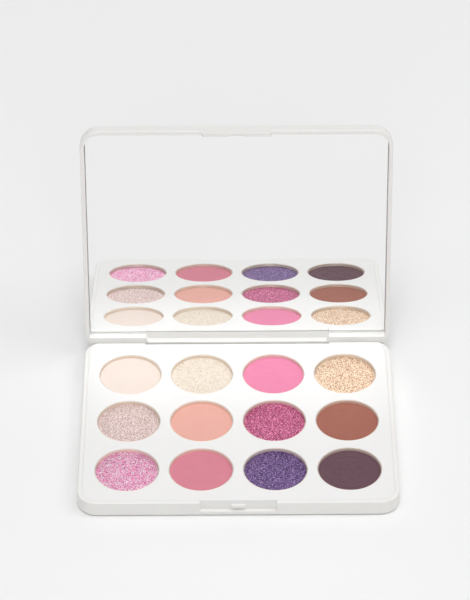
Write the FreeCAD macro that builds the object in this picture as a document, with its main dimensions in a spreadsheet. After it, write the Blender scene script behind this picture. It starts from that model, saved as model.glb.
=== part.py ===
# Twelve-pan eyeshadow palette with a mirrored, snap-shut lid.
#
# Frame: millimetres, +Z up, +X to the right of a person facing the open palette, +Y towards the hinge.
# The origin is the centre of the base's flat underside. The lid is drawn closed, flat above the base,
# and its pieces are then turned about the hinge axis to the open position, where the lid rests on its stop.

import FreeCAD, Part
import math
import os

import Sketcher

doc = FreeCAD.newDocument("EyeshadowPalette")

# ---------------------------------------------------------------- driving dimensions

DIMENSIONS = [
    # whole compact
    ("width", 128.7, "outer width, left to right"),
    ("depth", 102.0, "outer depth, front to hinge"),
    ("corner", 7.8, "corner radius seen from above"),
    ("base_height", 7.0, "base shell, underside to top plane"),
    ("foot_round", 1.4, "rounding under the base and over the lid"),
    ("edge_round", 0.35, "small rounding of the top edges"),
    ("floor_wall", 1.2, "floor of the base shell"),
    # pan tray
    ("tray_side", 62.5, "half width of the tray plate"),
    ("tray_front", -49.4, "front edge of the tray plate"),
    ("tray_back", 49.45, "back edge of the tray plate"),
    ("tray_corner", 6.2, "corner radius of the tray plate"),
    ("tray_plate", 1.25, "thickness of the tray plate"),
    ("seat_gap", 0.05, "gap between the tray plate and the shell"),
    ("cavity_side", 61.2, "half width of the hollow under the tray"),
    ("cavity_front", -47.2, "front wall of the hollow"),
    ("cavity_back", 46.0, "back wall of the hollow"),
    # wells and pans
    ("pitch_x", 29.9, "well to well, left to right"),
    ("pitch_y", 30.14, "well to well, front to back"),
    ("grid_y", -0.5, "middle row of wells"),
    ("well_radius", 13.0, "opening for a 26 mm pan"),
    ("well_wall", 0.9, "wall of the cup below the plate"),
    ("well_floor_top", 2.2, "height of the cup's inner floor"),
    ("well_floor", 0.7, "thickness of the cup's floor"),
    ("push_out", 3.0, "radius of the push-out hole under each pan"),
    ("glue_inner", 4.0, "inner radius of the glue ring"),
    ("glue_outer", 8.0, "outer radius of the glue ring"),
    ("glue_thick", 0.15, "thickness of the glue ring"),
    ("pan_radius", 12.92, "outer radius of a metal pan"),
    ("pan_wall", 0.25, "sheet thickness of a metal pan"),
    ("pan_below", 0.15, "pan rim below the top plane"),
    ("powder_below", 1.35, "powder face below the top plane"),
    ("powder_edge", 0.2, "bevel round the powder face"),
    # front notch and snap
    ("notch_half", 15.35, "half width of the finger notch"),
    ("notch_wall", -49.4, "back wall of the finger notch"),
    ("notch_floor", 2.4, "height of the notch floor"),
    ("nub_half", 2.7, "half width of the snap nub"),
    ("nub_front", -50.35, "front of the snap nub"),
    ("nub_low", 3.5, "underside of the snap nub"),
    ("nub_high", 5.1, "top of the snap nub"),
    # hinge
    ("hinge_y", 49.3, "hinge axis, front to back"),
    ("hinge_z", 5.3, "hinge axis, height"),
    ("open_angle", 99.7, "lid angle from closed to its stop"),
    ("slot_half", 39.0, "half width of the slot for the lid's tongue"),
    ("slot_front", 47.3, "front wall of the slot"),
    ("slot_floor", 3.0, "floor of the slot"),
    ("knuckle_end", 48.4, "outer end of a base knuckle"),
    ("knuckle_front", 47.8, "front of a base knuckle"),
    ("knuckle_back", 50.0, "where a knuckle merges into the back rim"),
    ("stop_gap", 1.65, "hinge axis to the stop face, just under the lid's own reach"),
    ("back_bevel", 0.75, "bevel of the base's top back edge"),
    ("tongue_half", 38.7, "half width of the lid's hinge tongue"),
    ("barrel", 1.15, "radius of the tongue's barrel"),
    ("barrel_room", 0.1, "room between the barrel and the tray's lip"),
    ("web_front", 49.7, "front of the web that carries the barrel"),
    ("relief", 2.2, "radius cleared in the lid round the axis"),
    ("pin_radius", 0.4, "steel hinge pin"),
    ("pin_fit", 0.05, "running clearance round the pin"),
    ("pin_inner", 32.7, "inner end of a pin"),
    ("pin_outer", 47.5, "outer end of a pin"),
    # lid and mirror
    ("lid_low", 7.05, "parting face of the closed lid"),
    ("lid_thick", 6.4, "lid, parting face to outer face"),
    ("rim_inner", 62.65, "half width between the lid's side rims"),
    ("rim_front", -49.3, "inner face of the lid's front rim"),
    ("rim_corner", 6.15, "inner corner radius of the lid"),
    ("mirror_depth", 3.94, "parting face to the mirror's face"),
    ("glass", 1.1, "thickness of the mirror"),
    ("tape", 0.2, "thickness of the adhesive sheet"),
    ("tape_inset", 4.0, "adhesive sheet's edge inside the mirror's edge"),
    ("mirror_gap", 0.15, "gap round the mirror"),
    ("bed_back", 44.85, "back wall of the mirror's bed"),
    ("rim_back_side", 45.4, "inner face of the back rim beside the tongue"),
    ("rim_back_mid", 47.5, "inner face of the back rim over the tongue"),
    ("rim_slant", 1.1, "slant at the ends of the recess over the tongue"),
    ("strip_proud", 0.4, "strip along the mirror's back edge, above the glass"),
    ("seam", 0.2, "width of the seam beside each knuckle"),
    ("seam_deep", 0.3, "depth of that seam"),
    ("tab_half", 14.3, "half width of the opening tab"),
    ("tab_drop", 2.7, "tab below the parting face"),
    ("tab_thick", 1.25, "thickness of the tab"),
    ("tab_round", 1.0, "rounding of the tab's two corners"),
    ("catch_half", 3.0, "half width of the catch pocket in the tab"),
    ("catch_high", 5.3, "top of the catch pocket"),
    ("catch_front", -50.5, "front wall of the catch pocket"),
    # drawing aids
    ("past", 1.0, "how far a cut runs past the outside"),
    ("sink", 0.5, "how far a pad sinks into the wall that carries it"),
]

COLUMNS = 4
ROWS = 3
# Shades from left to right, back row first.
SHADES = [
    ["ivory", "champagne", "hot_pink", "gold_copper"],
    ["mauve_pink", "peach", "magenta", "brown"],
    ["orchid", "rose", "purple", "plum"],
]

dims = doc.addObject("Spreadsheet::Sheet", "Dims")
for line, (alias, value, meaning) in enumerate(DIMENSIONS, start=1):
    dims.set(f"A{line}", meaning)
    dims.set(f"B{line}", str(value))
    dims.setAlias(f"B{line}", alias)
doc.recompute()

PLANES = {"XY": "XY_Plane", "XZ": "XZ_Plane", "YZ": "YZ_Plane"}
TINY = 1e-4
pieces = []


# ---------------------------------------------------------------- sketch and feature helpers

def named(expression):
    """Expression with every dimension's name led by the sheet's name."""
    words = expression
    for alias, _, _ in sorted(DIMENSIONS, key=lambda entry: -len(entry[0])):
        words = replace_word(words, alias, f"Dims.{alias}")
    return words


def replace_word(text, word, new_word):
    """Text with each whole-word use of word changed, leaving longer names and Dims.word alone."""
    out = ""
    position = 0
    while position < len(text):
        end = position + len(word)
        before = text[position - 1] if position else " "
        after = text[end] if end < len(text) else " "
        whole = not (before.isalnum() or before in "_.") and not (after.isalnum() or after == "_")
        if text[position:end] == word and whole:
            out += new_word
            position = end
        else:
            out += text[position]
            position += 1
    return out


def new_body(label):
    """A body that becomes one node, named by its label."""
    body = doc.addObject("PartDesign::Body", label)
    body.Label = label
    pieces.append(body)
    return body


def new_sketch(body, plane, lift="0"):
    """Empty sketch on one of the body's origin planes, lifted along the plane's normal."""
    count = sum(item.TypeId == "Sketcher::SketchObject" for item in body.Group)
    sketch = body.newObject("Sketcher::SketchObject", f"{body.Name}_sketch{count + 1}")
    origin = [item for item in body.Origin.OriginFeatures if item.Role == PLANES[plane]]
    sketch.AttachmentSupport = (origin[0], [""])
    sketch.MapMode = "FlatFace"
    sketch.setExpression("AttachmentOffset.Base.z", named(lift))
    return sketch


def polygon(sketch, corners):
    """Closed outline whose corners are (x, y) pairs of expressions."""
    corners = [(named(x), named(y)) for x, y in corners]
    places = [
        FreeCAD.Vector(float(sketch.evalExpression(x)), float(sketch.evalExpression(y)), 0)
        for x, y in corners
    ]
    first = sketch.GeometryCount
    count = len(corners)
    for index in range(count):
        line = Part.LineSegment(places[index], places[(index + 1) % count])
        sketch.addGeometry(line, False)
    for index in range(count):
        following = first + (index + 1) % count
        sketch.addConstraint(Sketcher.Constraint("Coincident", first + index, 2, following, 1))
    for index, (corner, place) in enumerate(zip(corners, places)):
        for kind, expression, value in (("DistanceX", corner[0], place.x), ("DistanceY", corner[1], place.y)):
            bind(sketch, Sketcher.Constraint(kind, first + index, 1, value), expression)


def circle(sketch, x, y, radius):
    """Circle whose centre and radius are expressions."""
    x, y, radius = named(x), named(y), named(radius)
    centre = FreeCAD.Vector(float(sketch.evalExpression(x)), float(sketch.evalExpression(y)), 0)
    size = float(sketch.evalExpression(radius))
    index = sketch.addGeometry(Part.Circle(centre, FreeCAD.Vector(0, 0, 1), size), False)
    bind(sketch, Sketcher.Constraint("Radius", index, size), radius)
    bind(sketch, Sketcher.Constraint("DistanceX", index, 3, centre.x), x)
    bind(sketch, Sketcher.Constraint("DistanceY", index, 3, centre.y), y)


def bind(sketch, constraint, expression):
    """Add a constraint and tie its value to an expression."""
    index = sketch.addConstraint(constraint)
    sketch.setExpression(f"Constraints[{index}]", expression)


def rounded_box(sketch, left, right, low, high, radius):
    """Rectangle with equal round corners; its four sides and its radius are expressions."""
    left, right, low, high, radius = (named(word) for word in (left, right, low, high, radius))
    x0, x1, y0, y1, r = (float(sketch.evalExpression(word)) for word in (left, right, low, high, radius))
    straights = [
        ((x0 + r, y0), (x1 - r, y0)),
        ((x1, y0 + r), (x1, y1 - r)),
        ((x1 - r, y1), (x0 + r, y1)),
        ((x0, y1 - r), (x0, y0 + r)),
    ]
    centres = [(x1 - r, y0 + r), (x1 - r, y1 - r), (x0 + r, y1 - r), (x0 + r, y0 + r)]
    lines, arcs = [], []
    for index, (ends, centre) in enumerate(zip(straights, centres)):
        start, end = (FreeCAD.Vector(x, y, 0) for x, y in ends)
        lines.append(sketch.addGeometry(Part.LineSegment(start, end), False))
        whole = Part.Circle(FreeCAD.Vector(*centre, 0), FreeCAD.Vector(0, 0, 1), r)
        turn = math.radians(90 * (index - 1))
        arcs.append(sketch.addGeometry(Part.ArcOfCircle(whole, turn, turn + math.pi / 2), False))
    for index in range(4):
        sketch.addConstraint(Sketcher.Constraint("Tangent", lines[index], 2, arcs[index], 1))
        sketch.addConstraint(Sketcher.Constraint("Tangent", arcs[index], 2, lines[(index + 1) % 4], 1))
        direction = "Vertical" if index % 2 else "Horizontal"
        sketch.addConstraint(Sketcher.Constraint(direction, lines[index]))
    for index in range(1, 4):
        sketch.addConstraint(Sketcher.Constraint("Equal", arcs[0], arcs[index]))
    bind(sketch, Sketcher.Constraint("Radius", arcs[0], r), radius)
    bind(sketch, Sketcher.Constraint("DistanceX", lines[3], 1, x0), left)
    bind(sketch, Sketcher.Constraint("DistanceX", lines[1], 1, x1), right)
    bind(sketch, Sketcher.Constraint("DistanceY", lines[0], 1, y0), low)
    bind(sketch, Sketcher.Constraint("DistanceY", lines[2], 1, y1), high)


def box_corners(left, right, low, high):
    """Corners of an upright rectangle, each side an expression."""
    return [(left, low), (right, low), (right, high), (left, high)]


def extrude(kind, sketch, length, reverse=False, both_ways=False):
    """Pad or Pocket of a sketch, its length an expression."""
    body = sketch.getParentGeoFeatureGroup()
    feature = body.newObject(f"PartDesign::{kind}", f"{kind}_{sketch.Name}")
    feature.Profile = sketch
    feature.setExpression("Length", named(length))
    feature.Reversed = reverse
    if both_ways:
        feature.SideType = "Symmetric"
    before = body_volume(body, feature)
    doc.recompute()
    change = feature.Shape.Volume - before
    grows = kind == "Pad"
    if (change > TINY) != grows or abs(change) < TINY:
        raise ValueError(f"{feature.Name} changed the volume by {change:.4f} mm3")
    return feature


def body_volume(body, new_feature):
    """Volume of the body before a feature was added to it."""
    earlier = [
        item
        for item in body.Group
        if item.Name != new_feature.Name and hasattr(item, "Shape") and item.Shape.Solids
    ]
    return earlier[-1].Shape.Volume if earlier else 0.0


def revolve(sketch):
    """Full turn of a sketch on the XZ plane about the body's upright axis."""
    body = sketch.getParentGeoFeatureGroup()
    feature = body.newObject("PartDesign::Revolution", f"Revolution_{sketch.Name}")
    feature.Profile = sketch
    feature.ReferenceAxis = (sketch, ["V_Axis"])
    feature.Angle = 360.0
    doc.recompute()
    return feature


def rounded(feature, radius, wanted):
    """Fillet, by an expression, on the feature's edges for which wanted(edge) is true."""
    body = feature.getParentGeoFeatureGroup()
    names = [f"Edge{n}" for n, edge in enumerate(feature.Shape.Edges, start=1) if wanted(edge)]
    if not names:
        raise ValueError(f"no edge of {feature.Name} to round")
    fillet = body.newObject("PartDesign::Fillet", f"Fillet_{feature.Name}")
    fillet.Base = (feature, names)
    fillet.setExpression("Radius", named(radius))
    doc.recompute()
    return fillet


def size(expression):
    """Number that an expression in the sheet's names gives."""
    return float(dims.evalExpression(named(expression)))


def level(height):
    """Test for edges that lie flat at a height."""
    place = size(height)

    def wanted(edge):
        box = edge.BoundBox
        return abs(box.ZMin - place) < TINY and abs(box.ZMax - place) < TINY

    return wanted


def well_centre(column, row):
    """Centre of a well as two expressions; row 0 is the back row."""
    x = f"({column} - {(COLUMNS - 1) / 2}) * pitch_x"
    y = f"grid_y + ({(ROWS - 1) / 2} - {row}) * pitch_y"
    return x, y


WELLS = [(column, row) for row in range(ROWS) for column in range(COLUMNS)]
OUTLINE = ("-width / 2", "width / 2", "-depth / 2", "depth / 2")
ACROSS = "width + 2 * past"


# ---------------------------------------------------------------- base shell

def stop_face_y(height):
    """Y of the stop face at a height: a plane parallel to the open lid's parting face."""
    lean = "(open_angle - 90)"
    return f"hinge_y + (stop_gap + (({height}) - hinge_z) * sin({lean})) / cos({lean})"


def make_base_shell():
    """Moulded tray-shaped shell: rim, hollow, hinge knuckles, tongue slot, finger notch and snap nub."""
    body = new_body("base_shell")
    outer = new_sketch(body, "XY")
    rounded_box(outer, *OUTLINE, "corner")
    block = extrude("Pad", outer, "base_height")
    block = rounded(block, "foot_round", level("0"))
    rounded(block, "edge_round", level("base_height"))

    # The lid's back rim comes to rest in this shallow groove, which slopes like the open lid.
    groove = new_sketch(body, "YZ")
    lean = "(open_angle - 90)"
    groove_top = f"hinge_z + ((depth / 2 - hinge_y) * cos({lean}) - stop_gap) / sin({lean})"
    polygon(groove, [
        (stop_face_y(groove_top), groove_top),
        (stop_face_y("slot_floor"), "slot_floor"),
        ("depth / 2 + past", "slot_floor"),
        ("depth / 2 + past", groove_top),
    ])
    extrude("Pocket", groove, ACROSS, both_ways=True)

    # The top back edge is bevelled so that the lid's relief turns round it.
    bevel = new_sketch(body, "YZ")
    polygon(bevel, [
        ("depth / 2 - back_bevel", "base_height"),
        ("depth / 2", "base_height - back_bevel"),
        ("depth / 2 + past", "base_height - back_bevel"),
        ("depth / 2 + past", "base_height + past"),
        ("depth / 2 - back_bevel", "base_height + past"),
    ])
    extrude("Pocket", bevel, ACROSS, both_ways=True)

    # Seat for the tray plate, then the hollow that the cups hang in.
    seat = new_sketch(body, "XY", "base_height")
    rounded_box(
        seat, "-tray_side - seat_gap", "tray_side + seat_gap",
        "tray_front - seat_gap", "tray_back + seat_gap", "tray_corner + seat_gap",
    )
    extrude("Pocket", seat, "tray_plate")
    hollow = new_sketch(body, "XY", "base_height - tray_plate")
    rounded_box(hollow, "-cavity_side", "cavity_side", "cavity_front", "cavity_back", "tray_corner - 1")
    extrude("Pocket", hollow, "base_height - tray_plate - floor_wall")

    # Knuckles, flush with the top plane, each side of the slot for the lid's tongue.
    knuckles = new_sketch(body, "XY", "base_height - tray_plate - sink")
    for side in (-1, 1):
        polygon(knuckles, box_corners(
            f"{side} * slot_half", f"{side} * knuckle_end", "knuckle_front", "knuckle_back"
        ))
    extrude("Pad", knuckles, "tray_plate + sink")
    slot = new_sketch(body, "YZ")
    polygon(slot, box_corners("slot_front", "depth / 2 + past", "slot_floor", "base_height + past"))
    extrude("Pocket", slot, "2 * slot_half", both_ways=True)
    pin_hole = new_sketch(body, "YZ")
    circle(pin_hole, "hinge_y", "hinge_z", "pin_radius")
    extrude("Pocket", pin_hole, ACROSS, both_ways=True)

    # Finger notch at the front, with the nub that the lid's tab snaps over.
    notch = new_sketch(body, "XY", "notch_floor")
    polygon(notch, box_corners("-notch_half", "notch_half", "-depth / 2 - past", "notch_wall"))
    extrude("Pocket", notch, "base_height", reverse=True)
    nub = new_sketch(body, "XY", "nub_low")
    polygon(nub, box_corners("-nub_half", "nub_half", "nub_front", "notch_wall + sink / 2"))
    nub_pad = extrude("Pad", nub, "nub_high - nub_low")
    front = size("nub_front")
    rounded(nub_pad, "edge_round", lambda edge: abs(edge.BoundBox.YMax - front) < TINY)


# ---------------------------------------------------------------- pan tray, glue, pans and powders

def make_pan_tray():
    """Moulded plate that drops into the shell, with a cup below each of its round openings."""
    body = new_body("pan_tray")
    plate = new_sketch(body, "XY", "base_height - tray_plate")
    rounded_box(plate, "-tray_side", "tray_side", "tray_front", "tray_back", "tray_corner")
    extrude("Pad", plate, "tray_plate")

    cups = new_sketch(body, "XY", "well_floor_top - well_floor")
    for column, row in WELLS:
        x, y = well_centre(column, row)
        circle(cups, x, y, "well_radius + well_wall")
    extrude("Pad", cups, "base_height - tray_plate - well_floor_top + well_floor")
    wells = new_sketch(body, "XY", "base_height")
    for column, row in WELLS:
        x, y = well_centre(column, row)
        circle(wells, x, y, "well_radius")
    extrude("Pocket", wells, "base_height - well_floor_top")
    holes = new_sketch(body, "XY", "well_floor_top")
    for column, row in WELLS:
        x, y = well_centre(column, row)
        circle(holes, x, y, "push_out")
    extrude("Pocket", holes, "well_floor")

    # Room for the base's knuckles and, below a thin lip, for the barrel of the lid's tongue.
    notches = new_sketch(body, "XY", "base_height")
    for side in (-1, 1):
        polygon(notches, box_corners(
            f"{side} * (slot_half - seat_gap)", f"{side} * (knuckle_end + seat_gap)",
            "knuckle_front - seat_gap", "depth / 2"
        ))
    extrude("Pocket", notches, "tray_plate")
    lip = new_sketch(body, "YZ")
    polygon(lip, box_corners(
        "slot_front", "depth / 2", "base_height - tray_plate - sink", "hinge_z + barrel + barrel_room"
    ))
    cut = extrude("Pocket", lip, "2 * slot_half + seat_gap", both_ways=True)

    # Every opening has a slightly rounded mouth.
    top = size("base_height")

    def is_mouth(edge):
        flat = abs(edge.BoundBox.ZMin - top) < TINY and abs(edge.BoundBox.ZMax - top) < TINY
        return flat and edge.Curve.TypeId == "Part::GeomCircle" and abs(
            edge.Curve.Radius - size("well_radius")
        ) < TINY

    rounded(cut, "edge_round / 2", is_mouth)


def at_well(body, column, row, height):
    """Place a body on a well's axis at a height."""
    x, y = well_centre(column, row)
    body.setExpression("Placement.Base.x", named(x))
    body.setExpression("Placement.Base.y", named(y))
    body.setExpression("Placement.Base.z", named(height))


def make_pan(shade, column, row):
    """Drawn metal pan: a thin flat-bottomed cup."""
    body = new_body(f"pan_{shade}")
    at_well(body, column, row, "well_floor_top + glue_thick")
    rim = "base_height - pan_below - well_floor_top - glue_thick"
    profile = new_sketch(body, "XZ")
    polygon(profile, [
        ("0", "0"),
        ("pan_radius - pan_wall", "0"),
        ("pan_radius", "pan_wall"),
        ("pan_radius", rim),
        ("pan_radius - pan_wall", rim),
        ("pan_radius - pan_wall", "pan_wall"),
        ("0", "pan_wall"),
    ])
    revolve(profile)


def make_powder(shade, column, row):
    """Pressed powder: a disc that fills the pan to just below its rim."""
    body = new_body(f"powder_{shade}")
    bottom = "well_floor_top + glue_thick + pan_wall"
    at_well(body, column, row, bottom)
    face = f"base_height - powder_below - ({bottom})"
    radius = "pan_radius - pan_wall"
    profile = new_sketch(body, "XZ")
    polygon(profile, [
        ("0", "0"),
        (radius, "0"),
        (radius, f"{face} - powder_edge"),
        (f"{radius} - powder_edge", face),
        ("0", face),
    ])
    revolve(profile)


def make_pan_glue():
    """Twelve thin rings of glue, one under each pan."""
    rings = []
    thickness = size("glue_thick")
    for column, row in WELLS:
        x, y = well_centre(column, row)
        centre = FreeCAD.Vector(size(x), size(y), size("well_floor_top"))
        disc = Part.makeCylinder(size("glue_outer"), thickness, centre)
        hole = Part.makeCylinder(size("glue_inner"), thickness, centre)
        rings.append(disc.cut(hole))
    glue = doc.addObject("Part::Feature", "pan_glue")
    glue.Label = "pan_glue"
    glue.Shape = Part.makeCompound(rings)
    pieces.append(glue)


# ---------------------------------------------------------------- hinge pins

def make_hinge_pin(label, side):
    """Steel pin, fixed in a base knuckle, on which one end of the lid's tongue turns."""
    pin = doc.addObject("Part::Cylinder", label)
    pin.Label = label
    pin.setExpression("Radius", named("pin_radius"))
    pin.setExpression("Height", named("pin_outer - pin_inner"))
    pin.Placement.Rotation = FreeCAD.Rotation(FreeCAD.Vector(0, 1, 0), 90)
    left_end = "pin_inner" if side > 0 else "-pin_outer"
    pin.setExpression("Placement.Base.x", named(left_end))
    pin.setExpression("Placement.Base.y", named("hinge_y"))
    pin.setExpression("Placement.Base.z", named("hinge_z"))
    pieces.append(pin)


# ---------------------------------------------------------------- lid, mirror and adhesive

def open_lid_piece(body):
    """Turn a piece, drawn closed, about the hinge axis to the open position."""
    turned_y = "(hinge_y * cos(open_angle) + hinge_z * sin(open_angle))"
    turned_z = "(hinge_z * cos(open_angle) - hinge_y * sin(open_angle))"
    body.Placement.Rotation = FreeCAD.Rotation(FreeCAD.Vector(-1, 0, 0), size("open_angle"))
    body.setExpression("Placement.Rotation.Angle", named("open_angle"))
    body.setExpression("Placement.Base.y", named(f"hinge_y - {turned_y}"))
    body.setExpression("Placement.Base.z", named(f"hinge_z - {turned_z}"))


def make_lid_shell():
    """Moulded lid: mirror bed, rims, opening tab and the hinge tongue between the base's knuckles."""
    body = new_body("lid_shell")
    outer = new_sketch(body, "XY", "lid_low")
    rounded_box(outer, *OUTLINE, "corner")
    block = extrude("Pad", outer, "lid_thick")
    block = rounded(block, "foot_round", level("lid_low + lid_thick"))
    rounded(block, "edge_round", level("lid_low"))

    # Recess up to the mirror's face. Its back corners are square; a deeper bed holds the glass.
    recess = new_sketch(body, "XY", "lid_low")
    rounded_box(recess, "-rim_inner", "rim_inner", "rim_front", "bed_back - rim_corner", "rim_corner")
    extrude("Pocket", recess, "mirror_depth + glass + tape", reverse=True)
    bed = new_sketch(body, "XY", "lid_low")
    polygon(bed, box_corners("-rim_inner", "rim_inner", "rim_front + 2 * rim_corner", "bed_back"))
    extrude("Pocket", bed, "mirror_depth + glass + tape", reverse=True)
    step = new_sketch(body, "XY", "lid_low")
    polygon(step, box_corners("-rim_inner", "rim_inner", "bed_back - 1", "rim_back_side"))
    extrude("Pocket", step, "mirror_depth", reverse=True)

    # A strip along the mirror's back edge, and the wider recess above the tongue with slanted ends.
    strip = new_sketch(body, "XY", "lid_low + mirror_depth - strip_proud")
    polygon(strip, box_corners("-knuckle_end", "knuckle_end", "bed_back", "rim_back_side + tape"))
    extrude("Pad", strip, "strip_proud + tape")
    middle = new_sketch(body, "XY", "lid_low")
    polygon(middle, [
        ("-slot_half", "rim_back_side - seam / 2"),
        ("slot_half", "rim_back_side - seam / 2"),
        ("slot_half - rim_slant", "rim_back_mid"),
        ("rim_slant - slot_half", "rim_back_mid"),
    ])
    extrude("Pocket", middle, "mirror_depth - strip_proud", reverse=True)
    seams = new_sketch(body, "XY", "lid_low")
    for side in (-1, 1):
        polygon(seams, box_corners(
            f"{side} * knuckle_end - seam / 2", f"{side} * knuckle_end + seam / 2",
            "rim_back_side - seam / 2", "depth / 2 + past"
        ))
    extrude("Pocket", seams, "seam_deep", reverse=True)

    # Relief round the hinge axis, then the tongue: a web and a barrel bored at each end for a pin.
    relief = new_sketch(body, "YZ")
    circle(relief, "hinge_y", "hinge_z", "relief")
    extrude("Pocket", relief, ACROSS, both_ways=True)
    web = new_sketch(body, "YZ")
    polygon(web, box_corners("web_front", "depth / 2", "hinge_z", "lid_low + sink"))
    extrude("Pad", web, "2 * tongue_half", both_ways=True)
    barrel_sketch = new_sketch(body, "YZ")
    circle(barrel_sketch, "hinge_y", "hinge_z", "barrel")
    extrude("Pad", barrel_sketch, "2 * tongue_half", both_ways=True)
    for side in (-1, 1):
        bore = new_sketch(body, "YZ", f"{side} * (pin_inner - pin_fit)")
        circle(bore, "hinge_y", "hinge_z", "pin_radius + pin_fit")
        extrude("Pocket", bore, "tongue_half - pin_inner + past", reverse=side > 0)

    # Opening tab, with a pocket behind it that clears the base's snap nub.
    tab = new_sketch(body, "XY", "lid_low - tab_drop")
    polygon(tab, box_corners("-tab_half", "tab_half", "-depth / 2", "-depth / 2 + tab_thick"))
    tab_pad = extrude("Pad", tab, "tab_drop + sink")
    low = size("lid_low - tab_drop")

    def is_tab_corner(edge):
        box = edge.BoundBox
        at_end = abs(abs(box.Center.x) - size("tab_half")) < TINY
        return at_end and box.XLength < TINY and abs(box.ZMin - low) < TINY and box.ZLength < TINY

    rounded(tab_pad, "tab_round", is_tab_corner)
    catch = new_sketch(body, "XY", "lid_low - tab_drop - past")
    polygon(catch, box_corners("-catch_half", "catch_half", "catch_front", "-depth / 2 + tab_thick + past"))
    extrude("Pocket", catch, "catch_high - lid_low + tab_drop + past", reverse=True)
    open_lid_piece(body)


def make_mirror():
    """Flat glass mirror; its front corners are round and its back corners square."""
    body = new_body("mirror")
    edge = "rim_inner - mirror_gap"
    front = "rim_front + mirror_gap"
    radius = "rim_corner - mirror_gap"
    back = "bed_back - mirror_gap"
    round_end = new_sketch(body, "XY", "lid_low + mirror_depth")
    rounded_box(round_end, f"-({edge})", edge, front, f"{back} - rim_corner", radius)
    extrude("Pad", round_end, "glass")
    square_end = new_sketch(body, "XY", "lid_low + mirror_depth")
    polygon(square_end, box_corners(f"-({edge})", edge, f"{front} + 2 * rim_corner", back))
    extrude("Pad", square_end, "glass")
    open_lid_piece(body)


def make_mirror_tape():
    """Double-sided adhesive sheet between the mirror and the lid."""
    body = new_body("mirror_tape")
    sheet = new_sketch(body, "XY", "lid_low + mirror_depth + glass")
    edge = "rim_inner - tape_inset"
    polygon(sheet, box_corners(f"-({edge})", edge, "rim_front + tape_inset", "bed_back - tape_inset"))
    extrude("Pad", sheet, "tape")
    open_lid_piece(body)


make_base_shell()
make_pan_tray()
make_pan_glue()
for wells_row, shades in enumerate(SHADES):
    for wells_column, shade_name in enumerate(shades):
        make_pan(shade_name, wells_column, wells_row)
        make_powder(shade_name, wells_column, wells_row)
make_hinge_pin("hinge_pin_left", -1)
make_hinge_pin("hinge_pin_right", 1)
make_lid_shell()
make_mirror()
make_mirror_tape()
doc.recompute()

# ---------------------------------------------------------------- checks and export

for item in doc.Objects:
    if "Invalid" in item.State or "Error" in item.State:
        raise ValueError(f"{item.Name} failed: {item.State}")
os.makedirs("parts", exist_ok=True)
for piece in pieces:
    shape = piece.Shape
    if shape.isNull() or not shape.isValid() or not shape.Solids:
        raise ValueError(f"{piece.Label} has no valid solid")
    shape.exportStep(f"parts/{piece.Label}.step")
    box = shape.BoundBox
    print(
        f"{piece.Label:22s} solids {len(shape.Solids):2d}  volume {shape.Volume:10.2f}  "
        f"x {box.XMin:.2f}..{box.XMax:.2f}  y {box.YMin:.2f}..{box.YMax:.2f}  z {box.ZMin:.2f}..{box.ZMax:.2f}"
    )
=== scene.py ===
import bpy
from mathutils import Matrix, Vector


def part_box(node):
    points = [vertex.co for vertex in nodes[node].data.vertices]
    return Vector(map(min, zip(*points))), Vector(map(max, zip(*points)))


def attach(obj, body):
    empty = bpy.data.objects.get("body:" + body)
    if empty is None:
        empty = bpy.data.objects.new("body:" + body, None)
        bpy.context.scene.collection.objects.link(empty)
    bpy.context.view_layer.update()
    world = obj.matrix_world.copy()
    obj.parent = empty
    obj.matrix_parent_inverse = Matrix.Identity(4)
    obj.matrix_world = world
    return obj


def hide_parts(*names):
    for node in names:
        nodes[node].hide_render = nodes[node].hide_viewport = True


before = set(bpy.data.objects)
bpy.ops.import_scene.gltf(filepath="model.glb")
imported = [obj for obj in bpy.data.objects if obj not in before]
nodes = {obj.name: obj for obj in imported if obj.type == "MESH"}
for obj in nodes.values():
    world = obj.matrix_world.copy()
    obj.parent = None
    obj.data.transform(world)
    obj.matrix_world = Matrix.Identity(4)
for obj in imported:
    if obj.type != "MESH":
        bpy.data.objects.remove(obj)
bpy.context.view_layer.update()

import math

import bmesh
import bpy
import numpy as np
from mathutils import Matrix, Vector


# Moulded shells: the base shell, the insert tray and the lid shell are white ABS, injection moulded in
# polished tools. Each keeps the exact shape of the design; its triangles are welded so that the rounded
# edges shade as one surface.

MM = 0.001
SHARP_EDGE = math.radians(40)


class Term:
    """A value inside a finish; Python arithmetic on it adds the matching Math nodes."""

    def __init__(self, finish, socket):
        self.finish = finish
        self.socket = socket

    def math(self, operation, *values):
        inputs = dict(enumerate(values))
        return self.finish.node("ShaderNodeMath", {"operation": operation}, inputs)

    def __add__(self, other):
        return self.math("ADD", self, other)

    def __sub__(self, other):
        return self.math("SUBTRACT", self, other)

    def __rsub__(self, other):
        return self.math("SUBTRACT", other, self)

    def __mul__(self, other):
        return self.math("MULTIPLY", self, other)

    def __gt__(self, other):
        return self.math("GREATER_THAN", self, other)

    __radd__ = __add__
    __rmul__ = __mul__


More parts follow.
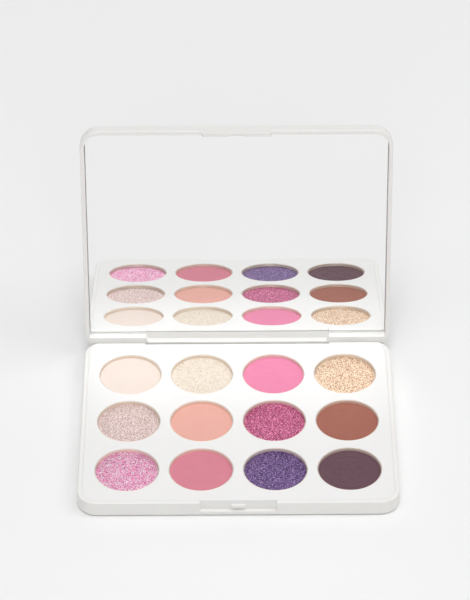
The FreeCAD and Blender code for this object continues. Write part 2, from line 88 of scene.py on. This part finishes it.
class Finish:
    """A material made of one Principled shader and the nodes that feed it."""

    def __init__(self, name, **constants):
        self.material = bpy.data.materials.new(name)
        self.material.use_nodes = True
        self.tree = self.material.node_tree
        self.shader = self.tree.nodes["Principled BSDF"]
        for socket, value in constants.items():
            self.shader.inputs[socket.replace("_", " ")].default_value = value

    def node(self, kind, settings=None, inputs=None, output=0):
        """Add a node: its settings first, then its sockets' values or links. Returns one output."""
        made = self.tree.nodes.new(kind)
        for key, value in (settings or {}).items():
            if key == "stops":
                self.set_stops(made.color_ramp, value)
            else:
                setattr(made, key, value)
        for key, value in (inputs or {}).items():
            socket = self.pick(made.inputs, key)
            if isinstance(value, Term):
                self.tree.links.new(value.socket, socket)
            else:
                socket.default_value = value
        return Term(self, self.pick(made.outputs, output))

    @staticmethod
    def pick(sockets, key):
        """Socket by number, by identifier or by name."""
        if isinstance(key, int):
            return sockets[key]
        matches = [socket for socket in sockets if socket.identifier == key]
        return matches[0] if matches else sockets[key]

    @staticmethod
    def set_stops(ramp, stops):
        """Colour ramp from (position, colour) pairs."""
        while len(ramp.elements) < len(stops):
            ramp.elements.new(1.0)
        for element, (position, colour) in zip(ramp.elements, stops):
            element.position = position
            element.color = colour

    def place(self):
        """Object coordinates, in millimetres."""
        coordinates = self.node("ShaderNodeTexCoord", output="Object")
        return self.node(
            "ShaderNodeVectorMath", {"operation": "SCALE"}, {0: coordinates, "Scale": 1 / MM}
        )

    def noise(self, place, scale, detail):
        """Fractal noise from 0 to 1, scale being waves per millimetre and detail the finer octaves."""
        inputs = {"Vector": place, "Scale": scale, "Detail": detail}
        return self.node("ShaderNodeTexNoise", {"noise_dimensions": "3D"}, inputs, "Fac")

    def cells(self, place, scale, output="Color"):
        """Voronoi cells, scale being cells per millimetre: a random colour or the distance to a centre."""
        return self.node(
            "ShaderNodeTexVoronoi", {"feature": "F1"}, {"Vector": place, "Scale": scale}, output
        )

    def ramp(self, value, stops):
        """Colour ramp over a value."""
        return self.node("ShaderNodeValToRGB", {"stops": stops}, {"Fac": value}, "Color")

    def blend(self, factor, first, second):
        """Two colours mixed by a factor, which is held between 0 and 1."""
        settings = {"data_type": "RGBA", "clamp_factor": True}
        inputs = {"Factor_Float": factor, "A_Color": first, "B_Color": second}
        return self.node("ShaderNodeMix", settings, inputs, "Result_Color")

    def bump(self, height, distance, strength=1.0):
        """Bump from a height that runs from 0 to 1 over a distance in millimetres."""
        inputs = {"Height": height, "Distance": distance * MM, "Strength": strength}
        return self.node("ShaderNodeBump", {}, inputs, "Normal")

    def feed(self, **links):
        """Link terms to the shader's sockets and return the material."""
        for socket, term in links.items():
            self.tree.links.new(term.socket, self.shader.inputs[socket.replace("_", " ")])
        return self.material


def white_plastic(name, colour, roughness, gloss):
    """White moulded plastic: an even colour with faint flow clouding, fine tool texture and soft gloss."""
    finish = Finish(name, Specular_IOR_Level=gloss, Subsurface_Weight=0.06, Subsurface_Scale=0.4 * MM)
    place = finish.place()
    clouding = finish.noise(place, 0.05, 3.0)
    texture = finish.noise(place, 3.0, 3.0)
    darker = (*(0.975 * channel for channel in colour), 1.0)
    wander = 0.04
    return finish.feed(
        Base_Color=finish.blend(clouding, darker, (*colour, 1.0)),
        Roughness=finish.noise(place, 0.4, 4.0) * (2 * wander) + (roughness - wander),
        Normal=finish.bump(texture, 0.004, 0.6),
    )


def welded(node, name, body, material):
    """Copy of a design node with its triangles merged, smooth but for its sharp edges."""
    mesh = nodes[node].data.copy()
    mesh.name = name
    grid = bmesh.new()
    grid.from_mesh(mesh)
    bmesh.ops.remove_doubles(grid, verts=grid.verts, dist=1e-6)
    bmesh.ops.dissolve_degenerate(grid, edges=grid.edges, dist=1e-7)
    for face in grid.faces:
        face.smooth = True
    for edge in grid.edges:
        edge.smooth = len(edge.link_faces) == 2 and edge.calc_face_angle(0.0) < SHARP_EDGE
    grid.to_mesh(mesh)
    grid.free()
    mesh.materials.clear()
    mesh.materials.append(material)
    piece = bpy.data.objects.new(name, mesh)
    bpy.context.scene.collection.objects.link(piece)
    shading = piece.modifiers.new("even_shading", "WEIGHTED_NORMAL")
    shading.mode = "FACE_AREA"
    shading.weight = 100
    shading.keep_sharp = True
    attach(piece, body)
    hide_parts(node)
    return piece


shell_white = white_plastic("shell_white", (0.81, 0.80, 0.78), 0.36, 0.45)
tray_white = white_plastic("tray_white", (0.806, 0.80, 0.792), 0.48, 0.3)
welded("base_shell", "base_shell_moulding", "base", shell_white)
welded("pan_tray", "pan_tray_moulding", "base", tray_white)
welded("lid_shell", "lid_shell_moulding", "lid", shell_white)


# Glue rings, hinge pins and adhesive sheet: pieces inside the compact, kept as designed. Hot glue is
# cloudy and soft, the pins are drawn steel wire, and the sheet is a thin foam carrier.

def plain_glue():
    """Cloudy set glue."""
    finish = Finish("set_glue", Roughness=0.45, Transmission_Weight=0.2)
    mottle = finish.noise(finish.place(), 0.8, 3.0)
    return finish.feed(Base_Color=finish.blend(mottle, (0.62, 0.58, 0.45, 1), (0.8, 0.77, 0.66, 1)))


def drawn_wire():
    """Steel wire with fine marks along its length."""
    finish = Finish("drawn_wire", Metallic=1.0)
    place = finish.node("ShaderNodeMapping", {}, {"Vector": finish.place(), "Scale": (0.3, 9.0, 9.0)})
    marks = finish.noise(place, 1.0, 3.0)
    return finish.feed(
        Base_Color=finish.blend(marks, (0.42, 0.42, 0.43, 1), (0.66, 0.66, 0.67, 1)),
        Roughness=marks * 0.25 + 0.22,
    )


def foam_sheet():
    """Off-white foam adhesive carrier with open cells, each painted darker towards its middle where the
    cell dips: painted shade in the pits.
    """
    finish = Finish("foam_sheet", Roughness=0.85)
    cells = finish.cells(finish.place(), 3.0, "Distance")
    return finish.feed(
        # Painted shade: the colour darkens towards each cell's middle, the pit of the same bump.
        Base_Color=finish.blend(cells, (0.6, 0.59, 0.55, 1), (0.82, 0.81, 0.77, 1)),
        Normal=finish.bump(cells, 0.05),
    )


def dress(node, material):
    """Give a design node its finish."""
    nodes[node].data.materials.clear()
    nodes[node].data.materials.append(material)


dress("pan_glue", plain_glue())
wire = drawn_wire()
dress("hinge_pin_left", wire)
dress("hinge_pin_right", wire)
dress("mirror_tape", foam_sheet())


# Pans: round cups drawn from thin tinplate with a warm lacquer, each glued into its cup of the tray. The
# raw edge is turned into a small smooth bead, and the bottom corner is a soft radius.

PAN_SHEET = 0.25 * MM
PAN_STEPS = 144
SHADES = [
    "ivory", "champagne", "hot_pink", "gold_copper",
    "mauve_pink", "peach", "magenta", "brown",
    "orchid", "rose", "purple", "plum",
]


def new_piece(name, points, faces, material, smooth=True):
    """Mesh object from an array of points and a list of faces."""
    mesh = bpy.data.meshes.new(name)
    mesh.from_pydata(points.reshape(-1, 3).tolist(), [], faces)
    mesh.polygons.foreach_set("use_smooth", np.full(len(mesh.polygons), smooth))
    mesh.materials.append(material)
    mesh.validate()
    piece = bpy.data.objects.new(name, mesh)
    bpy.context.scene.collection.objects.link(piece)
    return piece


def ring_faces(rings, around):
    """Quads between neighbouring rings of points, closed round each ring; outward for a rising profile."""
    ring, step = np.meshgrid(np.arange(rings - 1), np.arange(around), indexing="ij")
    after = (step + 1) % around
    low, high = ring * around, (ring + 1) * around
    quads = np.stack([low + step, low + after, high + after, high + step], axis=-1)
    return quads.reshape(-1, 4).tolist()


def turned(radii, heights, around):
    """Points of a lathe shape: (r cos a, r sin a, z) for each profile point and each equal angle a."""
    angles = np.linspace(0, 2 * math.pi, around, endpoint=False)
    radii, heights = np.asarray(radii), np.asarray(heights)
    x = radii[:, None] * np.cos(angles)
    y = radii[:, None] * np.sin(angles)
    z = np.repeat(heights[:, None], around, axis=1)
    return np.stack([x, y, z], axis=-1)


def capped(points, low, high, around):
    """Points and faces of rings closed by a fan to the point low below them and to high above them."""
    rings = points.shape[0]
    cloud = np.concatenate([points.reshape(-1, 3), [low], [high]])
    bottom, top = rings * around, rings * around + 1
    step = np.arange(around)
    after = (step + 1) % around
    last = (rings - 1) * around
    faces = ring_faces(rings, around)
    faces += np.stack([after, step, np.full(around, bottom)], axis=-1).tolist()
    faces += np.stack([last + step, last + after, np.full(around, top)], axis=-1).tolist()
    return cloud, faces


def arc(centre_r, centre_z, radius, start, end, count):
    """Profile points on an arc, its angles in degrees from outward."""
    turn = np.radians(np.linspace(start, end, count))
    return centre_r + radius * np.cos(turn), centre_z + radius * np.sin(turn)


def lacquered_tinplate():
    """Warm lacquered tinplate with faint draw marks up the wall."""
    finish = Finish("lacquered_tinplate", Metallic=0.45)
    stretched = finish.node("ShaderNodeMapping", {}, {"Vector": finish.place(), "Scale": (3.0, 3.0, 0.4)})
    marks = finish.noise(stretched, 1.0, 4.0)
    return finish.feed(
        Base_Color=finish.blend(marks, (0.76, 0.64, 0.53, 1), (0.90, 0.81, 0.72, 1)),
        Roughness=marks * 0.2 + 0.26,
    )


def make_pan(shade, material):
    """Cup profile: floor, bottom corner radius, wall, bead, inner wall, inner corner, floor again."""
    low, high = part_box(f"pan_{shade}")
    middle = (Vector(low) + Vector(high)) / 2
    outer = (high[0] - low[0]) / 2
    floor, rim = low[2], high[2]
    hub, bead, corner = outer / 2, PAN_SHEET / 2, 3 * PAN_SHEET
    outside = arc(outer - corner, floor + corner, corner, -90, 0, 6)
    edge = arc(outer - bead, rim - bead, bead, 0, 180, 8)
    inside = arc(outer - corner, floor + corner, corner - PAN_SHEET, 0, -90, 6)
    radii = np.concatenate([[hub], outside[0], edge[0], inside[0], [hub]])
    heights = np.concatenate([[floor], outside[1], edge[1], inside[1], [floor + PAN_SHEET]])
    points = turned(radii, heights, PAN_STEPS) + np.array([middle.x, middle.y, 0])
    below, above = (middle.x, middle.y, floor), (middle.x, middle.y, floor + PAN_SHEET)
    cloud, faces = capped(points, below, above, PAN_STEPS)
    piece = new_piece(f"pan_{shade}_drawn", cloud, faces, material)
    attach(piece, "base")
    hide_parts(f"pan_{shade}")


tinplate = lacquered_tinplate()
for shade in SHADES:
    make_pan(shade, tinplate)


# Pressed powders: pigment, talc and binder pressed into each pan with a ribbon under the punch. Matte
# shades are even and velvety; shimmer shades hold mica; glitter shades hold coarse coated flakes.

# Kind of each shade, and its colours on a screen from 0 to 255: body, dark and, where it glints, light.
POWDERS = {
    "ivory": ("matte", [(226, 213, 205), (225, 209, 198)]),
    "champagne": ("fleck", [(224, 212, 196), (184, 149, 122), (230, 224, 214)]),
    "hot_pink": ("matte", [(224, 133, 166), (220, 123, 159)]),
    "gold_copper": ("glitter", [(234, 207, 175), (169, 109, 74), (249, 241, 223)]),
    "mauve_pink": ("shimmer", [(222, 199, 195), (164, 118, 103), (250, 241, 242)]),
    "peach": ("matte", [(228, 172, 160), (222, 162, 149)]),
    "magenta": ("glitter", [(183, 59, 115), (116, 14, 60), (249, 163, 202)]),
    "brown": ("matte", [(160, 99, 83), (151, 90, 75)]),
    "orchid": ("glitter", [(243, 151, 192), (190, 76, 142), (225, 244, 241)]),
    "rose": ("matte", [(212, 130, 146), (203, 120, 137)]),
    "purple": ("glitter", [(87, 51, 116), (42, 18, 73), (175, 142, 199)]),
    "plum": ("matte", [(100, 69, 80), (91, 62, 73)]),
}
# Grains per millimetre.
GRAINS = {"fleck": 4.0, "shimmer": 5.0, "glitter": 4.0}
# Each grain draws a number from 0 to 1: where dark ends, body colour begins, body ends and light begins.
SHARES = {
    "fleck": (0.06, 0.16, 0.7, 0.95),
    "shimmer": (0.2, 0.45, 0.7, 0.9),
    "glitter": (0.3, 0.45, 0.68, 0.86),
}
# How metallic the grains that mirror are, the share that don't mirror, and how far a grain may lean.
MIRRORED = {"fleck": 0.3, "shimmer": 0.75, "glitter": 0.8}
DULL_SHARE = 0.4
LEAN = 0.25


def tone(red, green, blue):
    """Screen colour, 0 to 255, as a linear colour no brighter than 0.95."""
    levels = np.array([red, green, blue]) / 255
    linear = np.where(levels > 0.04045, ((levels + 0.055) / 1.055) ** 2.4, levels / 12.92)
    return (*np.minimum(linear, 0.95).tolist(), 1.0)


def powder_finish(shade, kind, colours):
    """Pressed powder: soft clouding for a matte; for the others cells of mica, each with its own tilt."""
    body, dark, *light = (tone(*colour) for colour in colours)
    finish = Finish(f"powder_{shade}", Sheen_Weight=0.15, Sheen_Roughness=0.6, Specular_IOR_Level=0.25)
    place = finish.place()
    dust = finish.noise(place, 9.0, 2.0)
    if kind == "matte":
        clouds = finish.noise(place, 0.25, 4.0)
        return finish.feed(
            Base_Color=finish.blend((clouds * 0.9 + dust * 0.9) - 0.4, dark, body),
            Roughness=dust * 0.1 + 0.86,
            Normal=finish.bump(dust, 0.02),
        )
    flakes = finish.cells(place, GRAINS[kind])
    chance = finish.node("ShaderNodeSeparateColor", {}, {"Color": flakes}, "Red")
    second = finish.node("ShaderNodeSeparateColor", {}, {"Color": flakes}, "Green")
    speckled = finish.ramp(chance, list(zip(SHARES[kind], (dark, body, body, *light))))
    mirrored = (second > DULL_SHARE) * MIRRORED[kind]
    grain = finish.cells(place, GRAINS[kind], "Distance")
    tilt = finish.node(
        "ShaderNodeVectorMath", {"operation": "MULTIPLY_ADD"},
        {0: flakes, 1: (2 * LEAN, 2 * LEAN, 0.0), 2: (-LEAN, -LEAN, 0.0)},
    )
    bumped = finish.bump(grain, 0.06)
    leaning = finish.node("ShaderNodeVectorMath", {"operation": "ADD"}, {0: bumped, 1: tilt})
    facing = finish.node("ShaderNodeVectorMath", {"operation": "NORMALIZE"}, {0: leaning})
    return finish.feed(
        Base_Color=speckled,
        Metallic=mirrored,
        Roughness=0.62 - mirrored * 0.42,
        Normal=facing,
    )


WAVES = 24
WAVE_GAIN = 2.2


def ripple(x, y, length, seed):
    """Even roughness, mostly -1 to 1: a mean of sine waves of about one length in random directions."""
    rng = np.random.default_rng(seed)
    turn = rng.uniform(0, 2 * math.pi, WAVES)
    phase = rng.uniform(0, 2 * math.pi, WAVES)
    wave = 2 * math.pi / (length * rng.uniform(0.6, 1.6, WAVES))
    along = x[..., None] * np.cos(turn) + y[..., None] * np.sin(turn)
    return np.sin(along * wave + phase).mean(axis=-1) * WAVE_GAIN


ROSETTE_SHADE = "plum"
ROSETTE_RISE = 0.18 * MM
RIDGE = 0.24


def rosette(x, y):
    """Soft ridges, all in millimetres: six petals where r = 5.4 + 1.3 cos 6a, and a ring where r = 9.2."""
    radius, angle = np.hypot(x, y), np.arctan2(y, x)
    off_line = radius - (5.4 + 1.3 * np.cos(6 * angle))
    off_ring = radius - 9.2
    return np.exp(-((off_line / RIDGE) ** 2)) + np.exp(-((off_ring / RIDGE) ** 2))


# Height and length of the ripple on each kind's face, in millimetres.
RELIEF = {"matte": (0.012, 2.2), "fleck": (0.012, 0.9), "shimmer": (0.015, 0.8), "glitter": (0.03, 0.9)}
EDGE_ROLL = 0.25 * MM
WALL_GAP = 0.02 * MM


def make_powder(shade, seed):
    """Disc on a polar grid: z = face + ripple, rolled off over the last quarter millimetre, with a wall."""
    kind, colours = POWDERS[shade]
    low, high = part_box(f"powder_{shade}")
    middle_x, middle_y = (low[0] + high[0]) / 2, (low[1] + high[1]) / 2
    radius = (high[0] - low[0]) / 2 - WALL_GAP
    flat = radius - EDGE_ROLL
    around, rings = (320, 90) if shade == ROSETTE_SHADE else (192, 48)
    lift, length = RELIEF[kind]
    spread = np.linspace(1, 0.02, rings) * flat
    roll_r, roll_z = arc(flat, high[2] - EDGE_ROLL, EDGE_ROLL, 0, 75, 5)
    radii = np.concatenate([[flat, radius], roll_r, spread])
    heights = np.concatenate([[low[2], low[2] + EDGE_ROLL], roll_z, np.full(rings, high[2])])
    points = turned(radii, heights, around)
    face = points[-rings:]
    x, y = face[..., 0] / MM, face[..., 1] / MM
    inward = np.clip((radius - np.hypot(face[..., 0], face[..., 1])) / (4 * EDGE_ROLL), 0, 1)
    face[..., 2] += (ripple(x, y, length, seed) - 1) * lift * MM * inward
    if shade == ROSETTE_SHADE:
        face[..., 2] += (rosette(x, y) - 1) * ROSETTE_RISE * inward
    top = (middle_x, middle_y, float(face[-1, :, 2].mean()))
    points = points + np.array([middle_x, middle_y, 0])
    cloud, faces = capped(points, (middle_x, middle_y, low[2]), top, around)
    piece = new_piece(f"powder_{shade}_pressed", cloud, faces, powder_finish(shade, kind, colours))
    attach(piece, "base")
    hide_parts(f"powder_{shade}")


for number, shade in enumerate(SHADES):
    make_powder(shade, number)


# Mirror: float glass silvered on its back, its edges ground to a small bevel that shows the green of the
# glass. The front corners follow the lid; the back corners by the hinge are square.

HINGE_Y, HINGE_Z = 49.3 * MM, 5.3 * MM
OPEN_ANGLE = math.radians(99.7)
BEVEL = 0.2 * MM


def opened(points):
    """Points drawn in the closed lid, turned about the hinge: (y, z) rotates by the open angle."""
    x, y, z = points[..., 0], points[..., 1] - HINGE_Y, points[..., 2] - HINGE_Z
    cosine, sine = math.cos(OPEN_ANGLE), math.sin(OPEN_ANGLE)
    return np.stack([x, y * cosine + z * sine + HINGE_Y, z * cosine - y * sine + HINGE_Z], axis=-1)


def mirror_outline(inset):
    """Outline pulled in by a distance: quarter circles at the front corners, square corners at the back."""
    side, front, back = 62.5 * MM - inset, -49.15 * MM + inset, 44.7 * MM - inset
    radius = 6.0 * MM - inset
    turn = np.linspace(0, math.pi / 2, 17)
    right_x, right_y = side - radius + radius * np.sin(turn), front + radius - radius * np.cos(turn)
    x = np.concatenate([right_x, [side, -side], -right_x[::-1]])
    y = np.concatenate([right_y, [back, back], right_y[::-1]])
    return x, y


def silvered_glass():
    """Silvered glass: a clear sharp reflection with the faintest haze; its ground edge is pale green."""
    finish = Finish("silvered_glass")
    haze = finish.noise(finish.place(), 0.03, 3.0)
    silver = finish.blend(haze, (0.908, 0.91, 0.908, 1), (0.92, 0.922, 0.92, 1))
    face = finish.node("ShaderNodeAttribute", {"attribute_name": "silvered"}, output="Fac")
    return finish.feed(
        Base_Color=finish.blend(face, (0.76, 0.79, 0.78, 1), silver),
        Metallic=face,
        Roughness=0.22 - face * 0.215 + haze * 0.01,
    )


def make_mirror():
    """Glass plate: outlines at its back, at the foot of the bevel and at its face, in the closed lid."""
    face_z, back_z = 10.99 * MM, 12.09 * MM
    layers = []
    for inset, height in ((0.0, back_z), (0.0, face_z + BEVEL), (BEVEL, face_z)):
        x, y = mirror_outline(inset)
        layers.append(np.stack([x, y, np.full_like(x, height)], axis=-1))
    points = opened(np.array(layers))
    around = points.shape[1]
    faces = [face[::-1] for face in ring_faces(3, around)]
    faces += [list(range(around)), list(range(2 * around, 3 * around))[::-1]]
    piece = new_piece("mirror_glass", points, faces, silvered_glass(), smooth=False)
    silvered = piece.data.attributes.new("silvered", "FLOAT", "FACE")
    silvered.data.foreach_set("value", [0.0] * (len(faces) - 1) + [1.0])
    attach(piece, "lid")
    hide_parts("mirror")


make_mirror()


# Studio: a pale seamless floor, an even surround and six softboxes. The steep front one is the key: the
# mirror throws it back on the hinge half of the tray, so mirror bounces are kept sharp.

SOFTBOX_DISTANCE = 2.6


def make_floor():
    """Flat square floor, its middle just under the palette."""
    half, drop = 4.0, -0.02 * MM
    points = np.array([[-half, -half, drop], [half, -half, drop], [half, half, drop], [-half, half, drop]])
    finish = Finish("studio_floor", Roughness=0.7, Specular_IOR_Level=0.2)
    cloud = finish.noise(finish.place(), 0.01, 2.0)
    paper = finish.blend(cloud, (0.835, 0.835, 0.835, 1), (0.845, 0.845, 0.845, 1))
    material = finish.feed(Base_Color=paper)
    new_piece("floor", points, [[0, 1, 2, 3]], material, smooth=False)


def make_softbox(name, azimuth, elevation, size, power):
    """Square area light facing the palette: azimuth from the front towards the right, in degrees."""
    turn, rise = math.radians(azimuth), math.radians(elevation)
    outward = Vector((math.sin(turn) * math.cos(rise), -math.cos(turn) * math.cos(rise), math.sin(rise)))
    light = bpy.data.lights.new(name, "AREA")
    light.shape = "SQUARE"
    light.size = size
    light.energy = power
    lamp = bpy.data.objects.new(name, light)
    lamp.location = outward * SOFTBOX_DISTANCE
    lamp.rotation_euler = (-outward).to_track_quat("-Z", "Y").to_euler()
    bpy.context.scene.collection.objects.link(lamp)


def make_surround(strength):
    """Even white surround."""
    world = bpy.data.worlds.new("surround")
    world.use_nodes = True
    background = world.node_tree.nodes["Background"]
    background.inputs["Color"].default_value = (1.0, 1.0, 1.0, 1.0)
    background.inputs["Strength"].default_value = strength
    bpy.context.scene.world = world


def make_camera():
    """Long lens, looking down on the palette from the front, with a slight roll."""
    place = Vector((-1.287, -932.63, 800.37)) * MM
    elevation, azimuth, roll = math.radians(38.086), math.radians(-0.0195), math.radians(-0.288)
    level = math.cos(elevation)
    back = Vector((math.sin(azimuth) * level, -math.cos(azimuth) * level, math.sin(elevation)))
    camera = bpy.data.cameras.new("camera")
    camera.sensor_width = 36.0
    camera.lens = 178.73
    camera.clip_start, camera.clip_end = 0.05, 50.0
    view = bpy.data.objects.new("camera", camera)
    turn = back.to_track_quat("Z", "Y") @ Matrix.Rotation(roll, 3, "Z").to_quaternion()
    view.rotation_mode = "QUATERNION"
    view.rotation_quaternion = turn
    view.location = place
    bpy.context.scene.collection.objects.link(view)
    bpy.context.scene.camera = view


make_floor()
make_softbox("key_softbox", 0, 77, 0.8, 15.5)
make_softbox("top_softbox", 180, 78, 1.2, 6.0)
make_softbox("left_softbox", -50, 65, 1.2, 5.0)
make_softbox("right_softbox", 50, 65, 1.2, 2.4)
make_softbox("side_softbox", 90, 50, 1.2, 10.8)
make_softbox("low_softbox", 0, 36, 1.2, 11.0)
make_surround(0.465)
make_camera()
bpy.context.scene.cycles.blur_glossy = 0.1
bpy.context.scene.view_settings.view_transform = "Standard"
